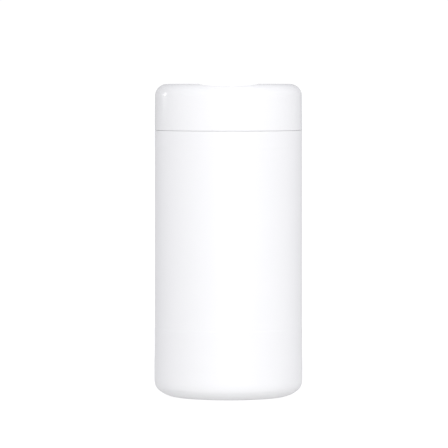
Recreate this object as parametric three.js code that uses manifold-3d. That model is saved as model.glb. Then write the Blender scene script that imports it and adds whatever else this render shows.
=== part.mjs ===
// Wipes canister: blow-moulded body with a neck, pull-off lid with a hinged flap, and a centre-pull roll inside.
// Units are millimetres, +Z up, front of the object faces -Y, origin at the centre of the base.
import * as THREE from 'three';
import { mergeVertices } from 'three/addons/utils/BufferGeometryUtils.js';
import Module from 'manifold-3d';

const wasm = await Module();
wasm.setup();

// ---- driving dimensions ----
const SEG = 60;            // facets around every turned shape
const R_TOP = 42.45;       // body radius just under the seam
const R_PANEL_TOP = 42.42; // label panel, top
const R_PANEL_BOT = 42.5;  // label panel, bottom
const R_LOW = 42.6;        // body radius between the panel and the bumper
const R_BUMP = 42.74;      // widest ring near the base
const Z_BUMP = [10, 20];
const Z_PANEL = [40, 143.6];
const Z_SHOULDER = 153.5;  // top of the body's shoulder, under the lid's skirt
const FOOT_IN = 26.8;      // flat foot ring, inner radius
const FOOT_OUT = 29.5;     // flat foot ring, outer radius
const FILLET_R = 14.5;     // bottom rounding, across
const FILLET_Z = 10.2;     // bottom rounding, up
const WALL = 1.15;         // body wall
const NECK_R = 39.9;       // neck, outside
const NECK_IN = 38.6;      // neck, inside
const NECK_TOP = 171.0;
const BEAD_R = 40.5;       // bead around the neck
const LID_BOT = 153.95;    // lower edge of the skirt
const LID_TOP = 180.4;     // rim
const LID_R_BOT = 42.45;
const LID_R_TOP = 42.3;
const LID_ROUND = 6.0;     // rounding between skirt and rim
const LID_WALL = 1.35;
const POCKET_R = 31.2;     // pocket the flap lies in
const LEDGE_Z = 177.0;     // ledge under the flap
const WELL_R = 28.7;
const DECK = [169.2, 170.5]; // deck with the dispensing hole
const COLLAR = [12.0, 13.2, 173.4];
const HOLE_R = 5.0;        // dispensing hole
const SLIT_W = 1.1;
const SLIT_R = 10.2;
const FLAP_R = 30.9;
const FLAP_Z = [177.3, 178.8];
const TONGUE_HALF = 16.6;  // hinge tongue, half width
const HINGE_Y = 33.0;      // hinge line
const HINGE_Z = 178.8;
const HINGE_GAP = 0.15;    // half of the slot at the hinge line
const NOTCH_HALF = 17.0;
const SCOOP_C = [0, -28.0, 181.4]; // thumb scoop, an ellipsoid
const SCOOP_R = [18.0, 12.3, 5.0];
const ROLL_R = 34.0;
const ROLL_HOLE = 8.0;
const ROLL_Z = [3.8, 151.3];

// ---- helpers ----
const V2 = (p) => new THREE.Vector2(p[0], p[1]);
function lathe(points, seg = SEG) {
  const g = new THREE.LatheGeometry(points.map(V2), seg);
  g.rotateX(Math.PI / 2);
  return g;
}
function solid(geometry) {
  const g = geometry.clone();
  g.deleteAttribute('normal');
  g.deleteAttribute('uv');
  const m = mergeVertices(g, 1e-4);
  const position = m.getAttribute('position').array;
  const raw = Array.from(m.getIndex().array);
  const tri = [];
  for (let i = 0; i < raw.length; i += 3) {
    const [a, b, c] = [raw[i], raw[i + 1], raw[i + 2]];
    if (a !== b && b !== c && a !== c) tri.push(a, b, c);
  }
  let volume = 0;
  for (let i = 0; i < tri.length; i += 3) {
    const [a, b, c] = [tri[i] * 3, tri[i + 1] * 3, tri[i + 2] * 3];
    volume += position[a] * (position[b + 1] * position[c + 2] - position[b + 2] * position[c + 1])
      - position[a + 1] * (position[b] * position[c + 2] - position[b + 2] * position[c])
      + position[a + 2] * (position[b] * position[c + 1] - position[b + 1] * position[c]);
  }
  if (volume < 0) for (let i = 0; i < tri.length; i += 3) [tri[i + 1], tri[i + 2]] = [tri[i + 2], tri[i + 1]];
  return new wasm.Manifold(new wasm.Mesh({
    numProp: 3, vertProperties: new Float32Array(position), triVerts: new Uint32Array(tri),
  }));
}
function turned(points, seg = SEG) { return solid(lathe(points, seg)); }
function ring(r0, r1, z0, z1, seg = SEG) {
  return turned([[r0, z0], [r1, z0], [r1, z1], [r0, z1], [r0, z0]], seg);
}
function block(x0, x1, y0, y1, z0, z1) {
  const g = new THREE.BoxGeometry(x1 - x0, y1 - y0, z1 - z0);
  g.translate((x0 + x1) / 2, (y0 + y1) / 2, (z0 + z1) / 2);
  return solid(g);
}
function ellipsoid(centre, radii, grow = 0) {
  const g = new THREE.SphereGeometry(1, 32, 18);
  g.scale(radii[0] + grow, radii[1] + grow, radii[2] + grow);
  g.translate(centre[0], centre[1], centre[2]);
  return solid(g);
}
function arc(cx, cz, r, a0, a1, n) {
  const out = [];
  for (let i = 0; i <= n; i++) {
    const a = THREE.MathUtils.degToRad(a0 + (a1 - a0) * i / n);
    out.push([cx + r * Math.cos(a), cz + r * Math.sin(a)]);
  }
  return out;
}
function toGeometry(man) {
  const mesh = man.getMesh();
  const n = mesh.numProp;
  const pos = new Float32Array(mesh.vertProperties.length / n * 3);
  for (let i = 0; i < pos.length / 3; i++) {
    pos[3 * i] = mesh.vertProperties[n * i];
    pos[3 * i + 1] = mesh.vertProperties[n * i + 1];
    pos[3 * i + 2] = mesh.vertProperties[n * i + 2];
  }
  const g = new THREE.BufferGeometry();
  g.setAttribute('position', new THREE.BufferAttribute(pos, 3));
  g.setIndex(new THREE.BufferAttribute(new Uint32Array(mesh.triVerts), 1));
  g.computeVertexNormals();
  return g;
}

const group = new THREE.Group();
group.name = 'wipes_canister';
function add(name, man, colour, roughness, metalness = 0) {
  const mesh = new THREE.Mesh(toGeometry(man), new THREE.MeshStandardMaterial({ color: colour, roughness, metalness }));
  mesh.name = name;
  mesh.material.name = name;
  group.add(mesh);
}

// ---- canister body: one thin-walled moulding ----
function footRound(t, off) {
  // bottom rounding from the foot ring outwards, offset inwards by off
  const a = THREE.MathUtils.degToRad(t);
  const rx = FILLET_R, rz = FILLET_Z, c = FOOT_OUT - 0.7;
  const r = c + rx * Math.sin(a), z = rz * (1 - Math.cos(a));
  const nr = Math.sin(a) / rx, nz = -Math.cos(a) / rz, l = Math.hypot(nr, nz);
  return [Math.min(r - off * nr / l, R_BUMP - off), Math.max(z - off * nz / l, off)];
}
const bodyProfile = [
  [0, 2.3], [22, 1.9], [25.2, 0.9], [FOOT_IN, 0], [FOOT_OUT, 0],
  ...[18, 33, 47, 60].map((t) => footRound(t, 0)),
  [42.28, 6.7], [42.62, 8.2], [R_BUMP, Z_BUMP[0]], [R_BUMP, Z_BUMP[1]],
  [R_LOW, 26], [R_LOW - 0.02, Z_PANEL[0] - 1], [R_PANEL_BOT, Z_PANEL[0] + 0.4],
  [R_PANEL_TOP, Z_PANEL[1] - 0.4], [R_TOP + 0.03, Z_PANEL[1] + 0.8], [R_TOP, 152.6],
  [42.32, 153.15], [41.95, Z_SHOULDER - 0.05], [41.4, Z_SHOULDER], [40.5, Z_SHOULDER],
  [NECK_R, 154.1], [NECK_R, 157.3], [BEAD_R, 158.2], [BEAD_R, 158.9], [NECK_R, 160.2],
  [NECK_R, NECK_TOP - 0.6], [39.55, NECK_TOP - 0.1], [39.25, NECK_TOP], [38.85, NECK_TOP - 0.15], [NECK_IN, NECK_TOP - 0.6],
  [NECK_IN, 153.2], [39.4, 151.6], [40.7, 150.4], [R_TOP - WALL, 148.6],
  [R_LOW - WALL, 27], [R_BUMP - WALL, 20], [R_BUMP - WALL, 10],
  [40.95, 7.3], [39.6, 5.3],
  ...[46, 26].map((t) => footRound(t, WALL)),
  [29.3, WALL], [27.3, WALL], [26.0, 2.0], [22.6, 3.1], [0, 3.5],
];
add('canister_body', turned(bodyProfile), 0xf4f4f6, 0.42);

// ---- lid: skirt, rim, pocket, well, deck, collar and scoop in one moulding ----
const lidOuter = [
  [0, LID_BOT], [42.1, LID_BOT], [42.36, LID_BOT + 0.12], [LID_R_BOT, LID_BOT + 0.4], [LID_R_BOT - 0.03, 160],
  ...arc(LID_R_TOP - LID_ROUND, LID_TOP - LID_ROUND, LID_ROUND, 0, 90, 7), [0, LID_TOP],
];
const IN_R = 41.05;
const lidVoid = [
  [0, 150], [IN_R, 150], [IN_R, 154.9], [40.8, 155.5], [40.8, 156.1], [IN_R, 156.8],
  ...arc(LID_R_TOP - LID_ROUND, LID_TOP - LID_ROUND - 0.1, LID_ROUND - LID_WALL, 0, 90, 3),
  [POCKET_R + 1.3, LID_TOP - 1.45], [POCKET_R + 1.3, LEDGE_Z - 1.15], [WELL_R + 1.3, LEDGE_Z - 1.15],
  [WELL_R + 1.3, DECK[0]], [0, DECK[0]],
];
const scoop = ellipsoid(SCOOP_C, SCOOP_R);
const scoopBack = ellipsoid(SCOOP_C, SCOOP_R, 1.25);
let under = turned(lidVoid)
  .subtract(ring(36.9, 38.15, 167.4, LID_TOP))
  .subtract(scoopBack)
  .subtract(block(-18.4, 18.4, 27.6, 34.6, LEDGE_Z - 1.2, LID_TOP))
  .subtract(block(-18.4, 18.4, 31.0, 40.9, HINGE_Z - 1.45, LID_TOP));
const well = turned([
  [0, DECK[1]], [WELL_R, DECK[1]], [WELL_R, LEDGE_Z], [POCKET_R, LEDGE_Z], [POCKET_R, LID_TOP - 0.45],
  [POCKET_R + 0.15, LID_TOP - 0.12], [POCKET_R + 0.5, LID_TOP + 0.02], [POCKET_R + 0.5, 186], [0, 186],
]).subtract(turned([
  [COLLAR[0], 168], [COLLAR[1], 168], [COLLAR[1], COLLAR[2] - 0.3], [COLLAR[1] - 0.3, COLLAR[2]],
  [COLLAR[0] + 0.3, COLLAR[2]], [COLLAR[0], COLLAR[2] - 0.3], [COLLAR[0], 168],
]));
let hole = turned([[0, 165], [HOLE_R, 165], [HOLE_R, 175], [0, 175]], 40);
for (let i = 0; i < 3; i++) {
  const g = new THREE.BoxGeometry(SLIT_R * 2, SLIT_W, 10);
  g.rotateZ(i * Math.PI / 3);
  g.translate(0, 0, 170);
  hole = hole.add(solid(g));
}
const lid = turned(lidOuter)
  .subtract(under)
  .subtract(well)
  .subtract(hole)
  .subtract(scoop)
  .subtract(block(-NOTCH_HALF, NOTCH_HALF, 24, HINGE_Y + HINGE_GAP, LEDGE_Z, 190))
  .subtract(block(-NOTCH_HALF, NOTCH_HALF, HINGE_Y - 1, 50, HINGE_Z, 190));
add('lid', lid, 0xf6f6f8, 0.3);

// ---- flap: disc with a hinge tongue, a thumb tab and two rings underneath ----
const flapDisc = turned([
  [0, FLAP_Z[0]], [9.9, FLAP_Z[0]], [10.1, 171.5], [11.0, 171.5], [11.3, FLAP_Z[0]],
  [26.3, FLAP_Z[0]], [26.6, 175.4], [27.2, 175.4], [27.6, FLAP_Z[0]],
  [FLAP_R - 0.25, FLAP_Z[0]], [FLAP_R, FLAP_Z[0] + 0.25], [FLAP_R, FLAP_Z[1] - 0.3],
  [FLAP_R - 0.3, FLAP_Z[1]], [28.4, FLAP_Z[1]], [26, FLAP_Z[1] - 0.22], [12, FLAP_Z[1] - 0.34], [0, FLAP_Z[1] - 0.36],
]);
const tongue = block(-TONGUE_HALF, TONGUE_HALF, 23.5, HINGE_Y - HINGE_GAP, FLAP_Z[0], FLAP_Z[1])
  .subtract(turned([[0, 170], [26.5, 170], [26.5, 190], [0, 190]]));
const tabShape = new THREE.Shape();
tabShape.moveTo(-9.5, -29);
tabShape.lineTo(-9.5, -31.2);
tabShape.quadraticCurveTo(-8.6, -33.2, -6, -33.5);
tabShape.lineTo(6, -33.5);
tabShape.quadraticCurveTo(8.6, -33.2, 9.5, -31.2);
tabShape.lineTo(9.5, -29);
tabShape.closePath();
const tabGeo = new THREE.ExtrudeGeometry(tabShape, { depth: 1.0, bevelEnabled: false, curveSegments: 6 });
tabGeo.translate(0, 0, FLAP_Z[1] - 1.0);
const flap = flapDisc.add(tongue).add(solid(tabGeo));
add('flap', flap, 0xf6f6f8, 0.3);

// ---- roll of wipes, its turns one solid, hollow in the middle ----
const roll = turned([
  [ROLL_HOLE, ROLL_Z[0]], [ROLL_R - 0.8, ROLL_Z[0]], [ROLL_R, ROLL_Z[0] + 0.8], [ROLL_R, ROLL_Z[1] - 0.8],
  [ROLL_R - 0.8, ROLL_Z[1]], [ROLL_HOLE, ROLL_Z[1]], [ROLL_HOLE, ROLL_Z[0]],
], 48);
add('wipes_roll', roll, 0xf2f3f5, 0.95);

export default group;
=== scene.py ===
import math  # noqa: E402

import bmesh  # noqa: E402
import bpy  # noqa: E402
import numpy as np  # noqa: E402
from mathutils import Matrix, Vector  # noqa: E402


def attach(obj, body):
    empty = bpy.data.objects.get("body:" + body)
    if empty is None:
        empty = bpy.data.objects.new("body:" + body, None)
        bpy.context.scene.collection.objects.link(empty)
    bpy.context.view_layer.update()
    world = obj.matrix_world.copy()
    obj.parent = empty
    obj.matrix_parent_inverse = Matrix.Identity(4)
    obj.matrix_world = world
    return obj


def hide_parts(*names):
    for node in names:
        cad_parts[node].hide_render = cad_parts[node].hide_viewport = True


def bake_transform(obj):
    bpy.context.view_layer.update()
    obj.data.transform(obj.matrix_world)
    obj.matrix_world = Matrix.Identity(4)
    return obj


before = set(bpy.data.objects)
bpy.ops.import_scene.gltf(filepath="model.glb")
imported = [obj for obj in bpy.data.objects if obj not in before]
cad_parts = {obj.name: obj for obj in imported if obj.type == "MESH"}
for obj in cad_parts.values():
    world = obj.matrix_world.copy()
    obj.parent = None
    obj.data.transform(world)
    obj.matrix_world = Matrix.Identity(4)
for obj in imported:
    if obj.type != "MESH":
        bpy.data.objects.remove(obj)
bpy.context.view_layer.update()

scene = bpy.context.scene
MM = 0.001  # every shape is built in millimetres and scaled once at the end

# ---------------------------------------------------------------- dimensions (mm), as in the CAD
SEG = 192
R_TOP, R_PANEL_TOP, R_PANEL_BOT, R_LOW, R_BUMP = 42.45, 42.42, 42.5, 42.6, 42.74
Z_SHOULDER, NECK_R, NECK_IN, NECK_TOP, BEAD_R = 153.72, 39.9, 38.6, 171.0, 40.5
WALL = 1.15
LID_BOT, LID_TOP, LID_R_BOT, LID_R_TOP, LID_ROUND, LID_WALL = 153.86, 180.4, 42.45, 42.3, 6.9, 1.35
POCKET_R, LEDGE_Z, WELL_R = 31.2, 177.0, 28.7
DECK = (169.2, 170.5)
COLLAR = (12.0, 13.2, 173.4)
HOLE_R, SLIT_W, SLIT_R = 5.0, 1.1, 10.2
FLAP_R, FLAP_Z = 30.9, (177.3, 178.8)
HINGE_Y, HINGE_Z, HINGE_GAP, NOTCH_HALF, TONGUE_HALF = 33.0, 178.8, 0.15, 17.0, 16.6
SCOOP_C, SCOOP_R = (0.0, -28.0, 181.4), (18.0, 12.3, 5.0)
ROLL_R, ROLL_HOLE, ROLL_Z = 34.0, 8.0, (3.8, 151.3)


# ---------------------------------------------------------------- mesh helpers
def rounded(points):
    """A path of (r, z) or (r, z, radius) corners, each corner with a radius turned into an arc."""
    pts = [(p[0], p[1], p[2] if len(p) > 2 else 0.0) for p in points]
    out = []
    for i, (x, z, rad) in enumerate(pts):
        if rad <= 0 or i in (0, len(pts) - 1):
            out.append((x, z))
            continue
        p, a, b = Vector((x, z)), Vector(pts[i - 1][:2]), Vector(pts[i + 1][:2])
        u, v = (a - p), (b - p)
        lu, lv = u.length, v.length
        u, v = u / lu, v / lv
        half = math.acos(max(-1, min(1, u.dot(v)))) / 2
        if abs(half - math.pi / 2) < 1e-3:
            out.append((x, z))
            continue
        t = min(rad / math.tan(half), lu * 0.49, lv * 0.49)
        r = t * math.tan(half)
        c = p + (u + v).normalized() * (r / math.sin(half))
        s, e = p + u * t - c, p + v * t - c
        a0, a1 = math.atan2(s.y, s.x), math.atan2(e.y, e.x)
        d = (a1 - a0 + math.pi) % (2 * math.pi) - math.pi
        n = max(3, int(abs(math.degrees(d)) / 11))
        for k in range(n + 1):
            w = a0 + d * k / n
            out.append((c.x + r * math.cos(w), c.y + r * math.sin(w)))
    clean = [out[0]]
    for q in out[1:]:
        if math.hypot(q[0] - clean[-1][0], q[1] - clean[-1][1]) > 1e-4:
            clean.append(q)
    return clean


def new_object(name, verts, faces):
    mesh = bpy.data.meshes.new(name)
    mesh.from_pydata(verts, [], faces)
    mesh.validate()
    mesh.update()
    ob = bpy.data.objects.new(name, mesh)
    scene.collection.objects.link(ob)
    return ob


def lathe(name, profile, seg=SEG, closed=False):
    """A turned solid from a path of (r, z) in mm that starts and ends on the axis, or is a closed loop."""
    verts, rings = [], []
    for r, z in profile:
        if r < 1e-6:
            rings.append([len(verts)] * seg)
            verts.append((0, 0, z))
        else:
            rings.append(list(range(len(verts), len(verts) + seg)))
            for k in range(seg):
                a = 2 * math.pi * k / seg
                verts.append((r * math.cos(a), r * math.sin(a), z))
    faces = []
    n = len(rings)
    for i in range(n if closed else n - 1):
        a, b = rings[i], rings[(i + 1) % n]
        for k in range(seg):
            m = (k + 1) % seg
            quad = [a[k], a[m], b[m], b[k]]
            quad = [q for j, q in enumerate(quad) if q != quad[j - 1]]
            if len(quad) > 2:
                faces.append(quad)
    ob = new_object(name, verts, faces)
    outward(ob)
    return ob


def outward(ob):
    """Turns every face out if the closed mesh holds a negative volume."""
    me = ob.data
    vol = 0.0
    me.calc_loop_triangles()
    co = np.empty(len(me.vertices) * 3)
    me.vertices.foreach_get("co", co)
    co = co.reshape(-1, 3)
    tri = np.empty(len(me.loop_triangles) * 3, np.int32)
    me.loop_triangles.foreach_get("vertices", tri)
    tri = tri.reshape(-1, 3)
    vol = np.einsum("ij,ij->i", co[tri[:, 0]], np.cross(co[tri[:, 1]], co[tri[:, 2]])).sum()
    if vol < 0:
        me.flip_normals()


def ellipsoid(name, centre, radii, grow=0.0, nu=128, nv=64):
    verts, faces = [], []
    cx, cy, cz = centre
    rx, ry, rz = (r + grow for r in radii)
    verts.append((cx, cy, cz - rz))
    for j in range(1, nv):
        b = -math.pi / 2 + math.pi * j / nv
        for k in range(nu):
            a = 2 * math.pi * k / nu
            verts.append((cx + rx * math.cos(b) * math.cos(a), cy + ry * math.cos(b) * math.sin(a), cz + rz * math.sin(b)))
    verts.append((cx, cy, cz + rz))
    last = len(verts) - 1
    for k in range(nu):
        m = (k + 1) % nu
        faces.append((0, 1 + m, 1 + k))
        faces.append((last, 1 + (nv - 2) * nu + k, 1 + (nv - 2) * nu + m))
        for j in range(nv - 2):
            a, b = 1 + j * nu, 1 + (j + 1) * nu
            faces.append((a + k, a + m, b + m, b + k))
    ob = new_object(name, verts, faces)
    outward(ob)
    return ob


def prism(name, outline, z0, z1):
    """A straight prism from an outline of (x, y) in mm."""
    n = len(outline)
    verts = [(x, y, z0) for x, y in outline] + [(x, y, z1) for x, y in outline]
    faces = [list(range(n))[::-1], list(range(n, 2 * n))]
    for k in range(n):
        m = (k + 1) % n
        faces.append((k, m, n + m, n + k))
    ob = new_object(name, verts, faces)
    outward(ob)
    return ob


def round_rect(x0, x1, y0, y1, r, corners=(1, 1, 1, 1), n=7):
    """Outline of a rectangle with rounded corners: corners are those at (x0,y0), (x1,y0), (x1,y1), (x0,y1)."""
    out = []
    for i, (cx, cy, a0) in enumerate(((x0, y0, 180), (x1, y0, 270), (x1, y1, 0), (x0, y1, 90))):
        if not corners[i]:
            out.append((cx, cy))
            continue
        mx = cx + r if cx == x0 else cx - r
        my = cy + r if cy == y0 else cy - r
        for k in range(n + 1):
            a = math.radians(a0 + 90 * k / n)
            out.append((mx + r * math.cos(a), my + r * math.sin(a)))
    return out


def boolean(ob, cutter, operation):
    m = ob.modifiers.new("b", "BOOLEAN")
    m.operation, m.solver, m.object = operation, "EXACT", cutter
    dg = bpy.context.evaluated_depsgraph_get()
    mesh = bpy.data.meshes.new_from_object(ob.evaluated_get(dg))
    bm = bmesh.new()
    bm.from_mesh(mesh)
    bmesh.ops.remove_doubles(bm, verts=bm.verts, dist=1e-3)
    bmesh.ops.dissolve_degenerate(bm, dist=5e-4, edges=bm.edges)
    bm.to_mesh(mesh)
    bm.free()
    ob.modifiers.clear()
    old = ob.data
    ob.data = mesh
    bpy.data.meshes.remove(old)
    data = cutter.data
    bpy.data.objects.remove(cutter)
    bpy.data.meshes.remove(data)
    return ob


def finish_mesh(ob, angle=32.0):
    bm = bmesh.new()
    bm.from_mesh(ob.data)
    bmesh.ops.remove_doubles(bm, verts=bm.verts, dist=1e-3)
    bmesh.ops.dissolve_degenerate(bm, dist=5e-4, edges=bm.edges)
    bmesh.ops.scale(bm, vec=(MM, MM, MM), verts=bm.verts)
    bm.to_mesh(ob.data)
    bm.free()
    ob.data.shade_smooth()
    ob.data.set_sharp_from_angle(angle=math.radians(angle))
    return ob


def smooth(a, b, x):
    t = max(0.0, min(1.0, (x - a) / (b - a)))
    return t * t * (3 - 2 * t)


# ---------------------------------------------------------------- canister body
def body_radius(z):
    r = R_BUMP + (R_LOW - R_BUMP) * smooth(19.5, 27.0, z)
    r += (R_PANEL_BOT - 0.02 - R_LOW) * smooth(39.2, 40.6, z)
    r += (R_PANEL_TOP - R_PANEL_BOT) * max(0.0, min(1.0, (z - 40.6) / 103.0))
    r += (R_TOP + 0.02 - R_PANEL_TOP) * smooth(143.0, 144.4, z)
    return r


def body_profile():
    out = rounded([(0, 2.3), (21.5, 2.05, 7), (26.3, 0.0, 1.6), (29.45, 0.0)])
    for t in np.linspace(4, 60, 20):
        a = math.radians(t)
        out.append((28.8 + 14.5 * math.sin(a), 10.2 * (1 - math.cos(a))))
    p0, p1, p2, p3 = [Vector(p) for p in (out[-1], (42.2, 6.15), (R_BUMP, 7.9), (R_BUMP, 10.4))]
    for k in range(1, 9):
        t = k / 8
        p = (1 - t) ** 3 * p0 + 3 * t * (1 - t) ** 2 * p1 + 3 * t * t * (1 - t) * p2 + t**3 * p3
        out.append((p.x, p.y))
    zs = [14, 17, 19.5] + list(np.linspace(20.2, 27, 9)) + [31, 35, 38.5] + list(np.linspace(39.2, 40.6, 6))
    zs += list(np.linspace(46, 138, 18)) + [142.4] + list(np.linspace(143, 144.4, 6)) + [148, 151.5]
    out += [(body_radius(z), z) for z in zs]
    out += rounded([
        (R_TOP + 0.02, 151.9), (R_TOP, Z_SHOULDER, 0.14), (NECK_R, Z_SHOULDER, 0.5), (NECK_R, 157.2, 0.3), (BEAD_R, 158.2, 0.35),
        (BEAD_R, 158.9, 0.35), (NECK_R, 160.2, 0.4), (NECK_R, NECK_TOP, 0.55), (NECK_IN, NECK_TOP, 0.5), (NECK_IN, 153.0, 2.0),
        (39.6, 151.2, 1.2), (R_TOP - WALL, 148.8, 2.0), (R_LOW - WALL, 27, 0), (R_BUMP - WALL, 20, 0), (R_BUMP - WALL, 10.0),
    ])[1:]
    for t in np.linspace(58, 14, 14):
        a = math.radians(t)
        nr, nz = math.sin(a) / 14.5, -math.cos(a) / 10.2
        ln = math.hypot(nr, nz)
        r, z = 28.8 + 14.5 * math.sin(a) - WALL * nr / ln, 10.2 * (1 - math.cos(a)) - WALL * nz / ln
        if r < R_BUMP - WALL - 0.05:
            out.append((r, max(z, WALL)))
    out += rounded([(29.6, WALL), (26.9, WALL, 1.2), (22.6, 3.1, 3), (0, 3.5)])
    return out


body = lathe("canister_moulding", body_profile(), SEG)
finish_mesh(body, 40)
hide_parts("canister_body")
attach(body, "canister")

# ---------------------------------------------------------------- lid
c = LID_R_TOP - LID_ROUND


def quarter(cx, cz, r, n):
    return [(cx + r * math.cos(math.pi / 2 * k / n), cz + r * math.sin(math.pi / 2 * k / n)) for k in range(n + 1)]


outer = rounded([(0, LID_BOT), (LID_R_BOT, LID_BOT, 0.12), (LID_R_BOT - 0.03, 160)]) + quarter(c, LID_TOP - LID_ROUND, LID_ROUND, 18) + [(0, LID_TOP)]
IN_R = 41.05
void = rounded([(0, 150), (IN_R, 150), (IN_R, 154.9), (40.8, 155.4, 0.3), (40.8, 156.2, 0.3), (IN_R, 156.9), (IN_R, 170.0)])
void += quarter(c, LID_TOP - LID_ROUND - 0.1, LID_ROUND - LID_WALL, 9)
void += rounded([(c, LID_TOP - 1.45), (POCKET_R + 1.3, LID_TOP - 1.45, 0.6), (POCKET_R + 1.3, LEDGE_Z - 1.15, 0.6), (WELL_R + 1.3, LEDGE_Z - 1.15, 0.6), (WELL_R + 1.3, DECK[0], 1.4), (0, DECK[0])])[1:]
under = lathe("under", void, SEG)
boolean(under, lathe("r", rounded([(36.9, 168.0), (37.1, 167.4), (37.9, 167.4), (38.15, 167.9), (38.15, 182), (36.9, 182)]), SEG, closed=True), "DIFFERENCE")
boolean(under, ellipsoid("e", SCOOP_C, SCOOP_R, 1.25, 96, 48), "DIFFERENCE")
boolean(under, prism("p", round_rect(-18.4, 18.4, 27.6, 34.6, 1.0), LEDGE_Z - 1.2, 182), "DIFFERENCE")
boolean(under, prism("p", round_rect(-18.13, 18.13, 31.07, 40.9, 0.8), HINGE_Z - 1.45, 183), "DIFFERENCE")
lid = lathe("lid_moulding", outer, SEG)
boolean(lid, under, "DIFFERENCE")
well = lathe("well", rounded([
    (0, DECK[1]), (WELL_R, DECK[1], 1.0), (WELL_R, LEDGE_Z, 0.0), (WELL_R + 0.01, LEDGE_Z + 0.001), (POCKET_R, LEDGE_Z, 0.35), (POCKET_R, LID_TOP - 0.5),
]) + [(POCKET_R + 0.07, LID_TOP - 0.25), (POCKET_R + 0.25, LID_TOP - 0.07), (POCKET_R + 0.5, LID_TOP + 0.005), (POCKET_R + 0.5, 186), (0, 186)], SEG)
boolean(well, lathe("k", rounded([
    (COLLAR[0], 168.0), (COLLAR[1] + 0.5, 168.0), (COLLAR[1] + 0.5, DECK[1], 0.0), (COLLAR[1] + 0.05, DECK[1] + 0.45), (COLLAR[1], COLLAR[2], 0.45), (COLLAR[0], COLLAR[2], 0.45),
]), SEG, closed=True), "DIFFERENCE")
boolean(lid, well, "DIFFERENCE")
hole = lathe("h", [(0, 165), (HOLE_R, 165), (HOLE_R, 175), (0, 175)], 96)
for i in range(3):
    o = round_rect(-SLIT_R, SLIT_R, -SLIT_W / 2, SLIT_W / 2, SLIT_W / 2 - 0.01)
    a = i * math.pi / 3
    o = [(x * math.cos(a) - y * math.sin(a), x * math.sin(a) + y * math.cos(a)) for x, y in o]
    boolean(hole, prism("s", o, 165.5, 174.5), "UNION")
boolean(lid, hole, "DIFFERENCE")
boolean(lid, ellipsoid("e", SCOOP_C, SCOOP_R, 0.0, 160, 80), "DIFFERENCE")
boolean(lid, prism("p", round_rect(-NOTCH_HALF, NOTCH_HALF, 24, HINGE_Y + HINGE_GAP, 0.4, (1, 1, 0, 0)), LEDGE_Z, 190), "DIFFERENCE")
boolean(lid, prism("p", round_rect(-NOTCH_HALF, NOTCH_HALF, HINGE_Y - 1, 50, 0.4, (0, 0, 0, 0)), HINGE_Z, 190), "DIFFERENCE")
finish_mesh(lid, 32)
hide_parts("lid")
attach(lid, "lid")

# ---------------------------------------------------------------- flap
flap = lathe("flap_moulding", rounded([
    (0, FLAP_Z[0]), (9.9, FLAP_Z[0], 0.3), (10.1, 171.5, 0.25), (11.0, 171.5, 0.25), (11.3, FLAP_Z[0], 0.3),
    (26.3, FLAP_Z[0], 0.3), (26.5, 175.4, 0.25), (27.3, 175.4, 0.25), (27.6, FLAP_Z[0], 0.3), (FLAP_R, FLAP_Z[0], 0.25),
    (FLAP_R, FLAP_Z[1], 0.35), (28.6, FLAP_Z[1], 1.5), (26.6, FLAP_Z[1] - 0.24, 2.0), (12, FLAP_Z[1] - 0.34, 8), (0, FLAP_Z[1] - 0.36),
]), SEG)
tongue = prism("t", round_rect(-TONGUE_HALF, TONGUE_HALF, 21.0, HINGE_Y - HINGE_GAP, 0.35, (0, 0, 1, 1)), FLAP_Z[0], FLAP_Z[1])
boolean(tongue, lathe("t2", [(0, 170), (27.9, 170), (27.9, 190), (0, 190)], SEG), "DIFFERENCE")
boolean(flap, tongue, "UNION")
tab = [(-9.5, -27.5)] + [(-9.5 + 0.0 * k, -27.5 - 0.9 * k) for k in range(1, 4)]
for k in range(9):
    a = math.radians(180 + 90 * k / 8)
    tab.append((-6.3 + 3.2 * math.cos(a), -30.3 + 3.2 * math.sin(a)))
for k in range(9):
    a = math.radians(270 + 90 * k / 8)
    tab.append((6.3 + 3.2 * math.cos(a), -30.3 + 3.2 * math.sin(a)))
tab += [(9.5, -28.4), (9.5, -27.5)]
boolean(flap, prism("t3", tab, FLAP_Z[1] - 1.0, FLAP_Z[1] - 0.02), "UNION")
finish_mesh(flap, 32)
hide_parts("flap")
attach(flap, "flap")

# the thin web that joins lid and flap along the hinge line
web_v, web_f = [], []
ys = [32.2, 32.5, 32.8] + list(np.linspace(32.85, 33.15, 9)) + [33.2, 33.5, 33.8]
xs = np.linspace(-16.3, 16.3, 12)
for zz in (178.5, 178.77):
    for y in ys:
        for x in xs:
            web_v.append((x * MM, y * MM, zz * MM))
nx, ny = len(xs), len(ys)
low = 0
high = nx * ny
for j in range(ny - 1):
    for i in range(nx - 1):
        q = j * nx + i
        web_f.append((low + q, low + q + nx, low + q + nx + 1, low + q + 1))
        web_f.append((high + q, high + q + 1, high + q + nx + 1, high + q + nx))
for i in range(nx - 1):
    a, b = i, i + 1
    web_f.append((low + a, low + b, high + b, high + a))
    a, b = (ny - 1) * nx + i, (ny - 1) * nx + i + 1
    web_f.append((low + b, low + a, high + a, high + b))
for j in range(ny - 1):
    a, b = j * nx, (j + 1) * nx
    web_f.append((low + b, low + a, high + a, high + b))
    a, b = j * nx + nx - 1, (j + 1) * nx + nx - 1
    web_f.append((low + a, low + b, high + b, high + a))
web = new_object("hinge_web", web_v, web_f)
outward(web)
web.data.shade_smooth()
web.data.set_sharp_from_angle(angle=math.radians(40))
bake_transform(web)

# ---------------------------------------------------------------- roll of wipes
PITCH = 0.62  # one wound layer, mm


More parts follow.
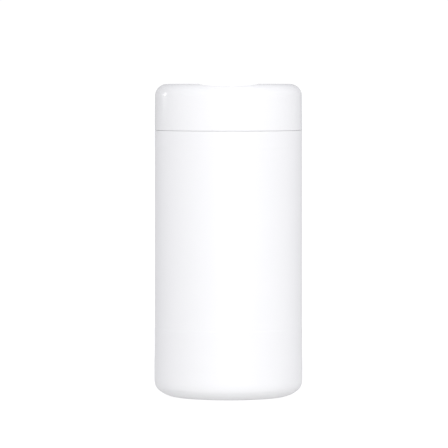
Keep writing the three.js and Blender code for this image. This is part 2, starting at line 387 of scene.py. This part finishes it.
def roll_mesh():
    seg = 240
    rng = np.random.default_rng(7)
    lump = rng.uniform(0, 2 * math.pi, 24)
    steps = int((ROLL_R - ROLL_HOLE - 0.6) / (PITCH / 4))
    radii = np.linspace(ROLL_HOLE + 0.1, ROLL_R - 0.5, steps)
    verts, rings = [], []

    def top(r, a):
        phase = (r - ROLL_HOLE) / PITCH - a / (2 * math.pi)
        turn = math.floor(phase)
        lift = 0.22 * math.sin(turn * 2.4 + lump[turn % 24]) + 0.10 * math.sin(3 * a + lump[(turn * 5) % 24])
        frac = phase - turn
        ridge = math.sin(math.pi * frac) ** 0.7
        return -0.75 + 0.38 * ridge + 0.5 * lift * ridge - 0.35 * math.exp(-(((r - ROLL_HOLE) / 2.0) ** 2))

    def outer_r(a):
        return ROLL_R - 0.42 * (1 - a / (2 * math.pi))

    def inner_r(a):
        return ROLL_HOLE + 0.35 * (a / (2 * math.pi))

    def add(fn):
        ring = []
        for k in range(seg):
            a = 2 * math.pi * k / seg
            ring.append(len(verts))
            r, z = fn(a)
            verts.append((r * MM * math.cos(a), r * MM * math.sin(a), z * MM))
        rings.append(ring)

    z0, z1 = ROLL_Z
    for r in radii:
        add(lambda a, r=r: (max(min(r, outer_r(a) - 0.25), inner_r(a) + 0.05), z1 + top(r, a)))
    add(lambda a: (outer_r(a), z1 - 0.9))
    for z in np.linspace(z1 - 6, z0 + 6, 14):
        add(lambda a, z=z: (outer_r(a) - 0.05 * (0.5 + 0.5 * math.sin(5 * a + z * 0.4)), z))
    add(lambda a: (outer_r(a), z0 + 0.9))
    for r in radii[::-1][::2]:
        add(lambda a, r=r: (max(min(r, outer_r(a) - 0.25), inner_r(a) + 0.05), z0 - top(r, a)))
    for z in np.linspace(z0 + 2, z1 - 2, 12):
        add(lambda a, z=z: (inner_r(a) + 0.06 * (0.5 + 0.5 * math.sin(4 * a + z * 0.3)), z))
    faces = []
    n = len(rings)
    for i in range(n):
        a, b = rings[i], rings[(i + 1) % n]
        for k in range(seg):
            m = (k + 1) % seg
            faces.append((a[k], a[m], b[m], b[k]))
    return verts, faces


roll = new_object("wipes_wound", *roll_mesh())
outward(roll)
roll.data.shade_smooth()
roll.data.set_sharp_from_angle(angle=math.radians(50))
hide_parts("wipes_roll")
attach(roll, "canister")


# ---------------------------------------------------------------- materials
def node(tree, kind, **values):
    n = tree.nodes.new(kind)
    for k, v in values.items():
        if hasattr(n, k):
            setattr(n, k, v)
        else:
            n.inputs[k].default_value = v
    return n


def ramp(tree, source, lo, hi, out_lo, out_hi):
    m = tree.nodes.new("ShaderNodeMapRange")
    m.clamp = True
    tree.links.new(source, m.inputs["Value"])
    for k, v in (("From Min", lo), ("From Max", hi), ("To Min", out_lo), ("To Max", out_hi)):
        m.inputs[k].default_value = v
    return m.outputs["Result"]


def noise(tree, coords, scale, detail=3.0, rough=0.55, distortion=0.0):
    n = tree.nodes.new("ShaderNodeTexNoise")
    n.inputs["Scale"].default_value = scale
    n.inputs["Detail"].default_value = detail
    n.inputs["Roughness"].default_value = rough
    n.inputs["Distortion"].default_value = distortion
    tree.links.new(coords, n.inputs["Vector"])
    return n.outputs["Fac"] if "Fac" in n.outputs else n.outputs[0]


def mix_colour(tree, fac, a, b):
    m = tree.nodes.new("ShaderNodeMix")
    m.data_type = "RGBA"
    tree.links.new(fac, m.inputs[0])
    for sock, v in ((m.inputs[6], a), (m.inputs[7], b)):
        if isinstance(v, tuple):
            sock.default_value = v
        else:
            tree.links.new(v, sock)
    return m.outputs[2]


def bump(tree, height, strength, distance, normal=None):
    b = tree.nodes.new("ShaderNodeBump")
    b.inputs["Strength"].default_value = strength
    b.inputs["Distance"].default_value = distance
    tree.links.new(height, b.inputs["Height"])
    if normal is not None:
        tree.links.new(normal, b.inputs["Normal"])
    return b.outputs["Normal"]


def add_math(tree, op, a, b):
    m = tree.nodes.new("ShaderNodeMath")
    m.operation = op
    for sock, v in ((m.inputs[0], a), (m.inputs[1], b)):
        if isinstance(v, (int, float)):
            sock.default_value = v
        else:
            tree.links.new(v, sock)
    return m.outputs[0]


def moulded(name, colour, shade, rough, pebble, pebble_size, flow, scuff_z=None):
    """White moulded plastic: fine pebbled skin, slow waves in the wall, faint clouding, and scuffs where it stands."""
    mat = bpy.data.materials.new(name)
    mat.use_nodes = True
    t = mat.node_tree
    bsdf = t.nodes["Principled BSDF"]
    coords = t.nodes.new("ShaderNodeTexCoord").outputs["Object"]
    cloud = noise(t, coords, 26.0, 4.0, 0.6)
    speck = noise(t, coords, 420.0, 2.0, 0.5)
    fine = noise(t, coords, 1.0 / (pebble_size * MM), 2.0, 0.5)
    colour_out = mix_colour(t, ramp(t, cloud, 0.35, 0.7, 0.0, 1.0), colour, shade)
    r = ramp(t, cloud, 0.3, 0.7, rough * 0.92, rough * 1.12)
    r = add_math(t, "ADD", r, ramp(t, speck, 0.55, 0.75, 0.0, rough * 0.1))
    if scuff_z is not None:
        sep = t.nodes.new("ShaderNodeSeparateXYZ")
        t.links.new(coords, sep.inputs[0])
        near = ramp(t, sep.outputs["Z"], scuff_z[0] * MM, scuff_z[1] * MM, 1.0, 0.0)
        stretch = t.nodes.new("ShaderNodeMapping")
        stretch.inputs["Scale"].default_value = (1.0, 1.0, 0.12)
        t.links.new(coords, stretch.inputs["Vector"])
        marks = ramp(t, noise(t, stretch.outputs[0], 260.0, 5.0, 0.7, 1.2), 0.55, 0.68, 0.0, 1.0)
        wear = add_math(t, "MULTIPLY", near, marks)
        colour_out = mix_colour(t, add_math(t, "MULTIPLY", wear, 0.3), colour_out, (0.74, 0.735, 0.73, 1.0))
        r = add_math(t, "ADD", r, add_math(t, "MULTIPLY", wear, 0.2))
    t.links.new(colour_out, bsdf.inputs["Base Color"])
    t.links.new(r, bsdf.inputs["Roughness"])
    n1 = bump(t, noise(t, coords, flow, 1.0, 0.3), 0.12, 0.00025)
    n2 = bump(t, fine, pebble, 0.00004, n1)
    t.links.new(n2, bsdf.inputs["Normal"])
    bsdf.inputs["IOR"].default_value = 1.5
    return mat, bsdf


mat_body, bsdf = moulded("plastic_body", (0.845, 0.845, 0.849, 1.0), (0.838, 0.838, 0.843, 1.0), 0.42, 0.45, 0.7, 30.0, (0.5, 9.0))
bsdf.inputs["Specular IOR Level"].default_value = 0.45
mat_lid, bsdf = moulded("plastic_lid", (0.858, 0.858, 0.861, 1.0), (0.853, 0.853, 0.857, 1.0), 0.2, 0.1, 0.7, 30.0)
bsdf.inputs["Specular IOR Level"].default_value = 0.5
mat_flap, bsdf = moulded("plastic_flap", (0.858, 0.858, 0.861, 1.0), (0.853, 0.853, 0.857, 1.0), 0.36, 0.15, 0.7, 34.0)
bsdf.inputs["Specular IOR Level"].default_value = 0.5

mat_roll = bpy.data.materials.new("nonwoven_damp")
mat_roll.use_nodes = True
t = mat_roll.node_tree
bsdf = t.nodes["Principled BSDF"]
coords = t.nodes.new("ShaderNodeTexCoord").outputs["Object"]
stretch = t.nodes.new("ShaderNodeMapping")
stretch.inputs["Scale"].default_value = (1.0, 1.0, 0.22)
t.links.new(coords, stretch.inputs["Vector"])
fibre = noise(t, stretch.outputs[0], 1900.0, 4.0, 0.7, 1.6)
tuft = noise(t, coords, 600.0, 3.0, 0.6)
damp = noise(t, coords, 55.0, 3.0, 0.55)
col = mix_colour(t, ramp(t, fibre, 0.35, 0.7, 0.0, 1.0), (0.80, 0.80, 0.79, 1.0), (0.88, 0.88, 0.875, 1.0))
col = mix_colour(t, ramp(t, damp, 0.5, 0.72, 0.0, 0.5), col, (0.74, 0.745, 0.74, 1.0))
t.links.new(col, bsdf.inputs["Base Color"])
t.links.new(ramp(t, damp, 0.4, 0.7, 0.85, 0.6), bsdf.inputs["Roughness"])
n1 = bump(t, tuft, 0.5, 0.0002)
t.links.new(bump(t, fibre, 0.6, 0.00012, n1), bsdf.inputs["Normal"])
bsdf.inputs["Sheen Weight"].default_value = 0.25

for ob, mat in ((body, mat_body), (lid, mat_lid), (flap, mat_flap), (web, mat_flap), (roll, mat_roll)):
    ob.data.materials.clear()
    ob.data.materials.append(mat)

# ---------------------------------------------------------------- stage: floor, backdrop, light, camera
def plane(name, half, z):
    return new_object(name, [(-half, -half, z), (half, -half, z), (half, half, z), (-half, half, z)], [(0, 1, 2, 3)])


def plain(name, diffuse, glow):
    mat = bpy.data.materials.new(name)
    mat.use_nodes = True
    b = mat.node_tree.nodes["Principled BSDF"]
    b.inputs["Base Color"].default_value = (*diffuse, 1.0)
    b.inputs["Roughness"].default_value = 1.0
    b.inputs["Specular IOR Level"].default_value = 0.0
    b.inputs["Emission Color"].default_value = (1.0, 1.0, 1.0, 1.0)
    b.inputs["Emission Strength"].default_value = glow
    return mat


floor = plane("floor", 12.0, -0.0001)
floor.data.materials.append(plain("floor_white", (0.4, 0.4, 0.402), 0.8))
for flag in ("visible_diffuse", "visible_glossy", "visible_transmission", "visible_shadow"):
    setattr(floor, flag, False)
bounce = plane("floor_bounce", 3.0, -0.0002)
bounce.data.materials.append(plain("floor_bounce_white", (0.36, 0.36, 0.365), 0.48))
bounce.visible_camera = False
verts, faces = [], []
for j in range(0, 13):
    b = math.radians(-10 + 100 * j / 12)
    for k in range(48):
        a = 2 * math.pi * k / 48
        verts.append((11.5 * math.cos(b) * math.cos(a), 11.5 * math.cos(b) * math.sin(a), 11.5 * math.sin(b)))
for j in range(12):
    for k in range(48):
        m = (k + 1) % 48
        faces.append((j * 48 + k, j * 48 + m, (j + 1) * 48 + m, (j + 1) * 48 + k))
dome = new_object("backdrop", verts, faces)
dome.data.materials.append(plain("backdrop_white", (0.0, 0.0, 0.0), 1.05))
for flag in ("visible_diffuse", "visible_glossy", "visible_transmission", "visible_shadow"):
    setattr(dome, flag, False)

world = bpy.data.worlds.new("studio")
scene.world = world
world.use_nodes = True
bg = world.node_tree.nodes["Background"]
wt = world.node_tree  # the studio is brighter in front of the object than behind it and to its left
along = wt.nodes.new("ShaderNodeVectorMath")
along.operation = "DOT_PRODUCT"
along.inputs[1].default_value = (-0.35, 0.937, 0.0)
wt.links.new(wt.nodes.new("ShaderNodeTexCoord").outputs["Generated"], along.inputs[0])
wt.links.new(mix_colour(wt, ramp(wt, along.outputs["Value"], -0.9, 0.9, 0.0, 1.0), (0.90, 0.90, 0.932, 1.0), (0.585, 0.585, 0.61, 1.0)), bg.inputs["Color"])
bg.inputs["Strength"].default_value = 1.0


def area(name, at, to, size, power, colour=(1, 1, 1)):
    data = bpy.data.lights.new(name, "AREA")
    data.shape = "RECTANGLE"
    data.size, data.size_y = size
    data.energy = power
    data.color = colour
    ob = bpy.data.objects.new(name, data)
    scene.collection.objects.link(ob)
    ob.location = at
    ob.rotation_euler = (Vector(to) - Vector(at)).to_track_quat("-Z", "Y").to_euler()
    ob.visible_camera = False
    return ob


area("front", (0.30, -3.0, 0.9), (0, 0, 0.09), (1.6, 1.6), 38.0)
area("strip_left", (-1.06, 0.59, 0.34), (0, 0, 0.17), (0.028, 0.26), 0.55)
area("top", (0, 0, 2.3), (0, 0, 0.1), (1.6, 1.6), 2.2)

cam_data = bpy.data.cameras.new("camera")
cam_data.sensor_width = 36.0
cam_data.lens = 339.6
cam = bpy.data.objects.new("camera", cam_data)
scene.collection.objects.link(cam)
cam.location = (-0.00256, -2.4355, 0.190)
cam.rotation_euler = (math.radians(90.0 - 2.125), 0.0, 0.0)
cam_data.clip_start, cam_data.clip_end = 0.05, 60.0
scene.camera = cam

scene.view_settings.view_transform = "Standard"
scene.view_settings.look = "None"
scene.view_settings.exposure = 0.0
scene.view_settings.gamma = 1.0
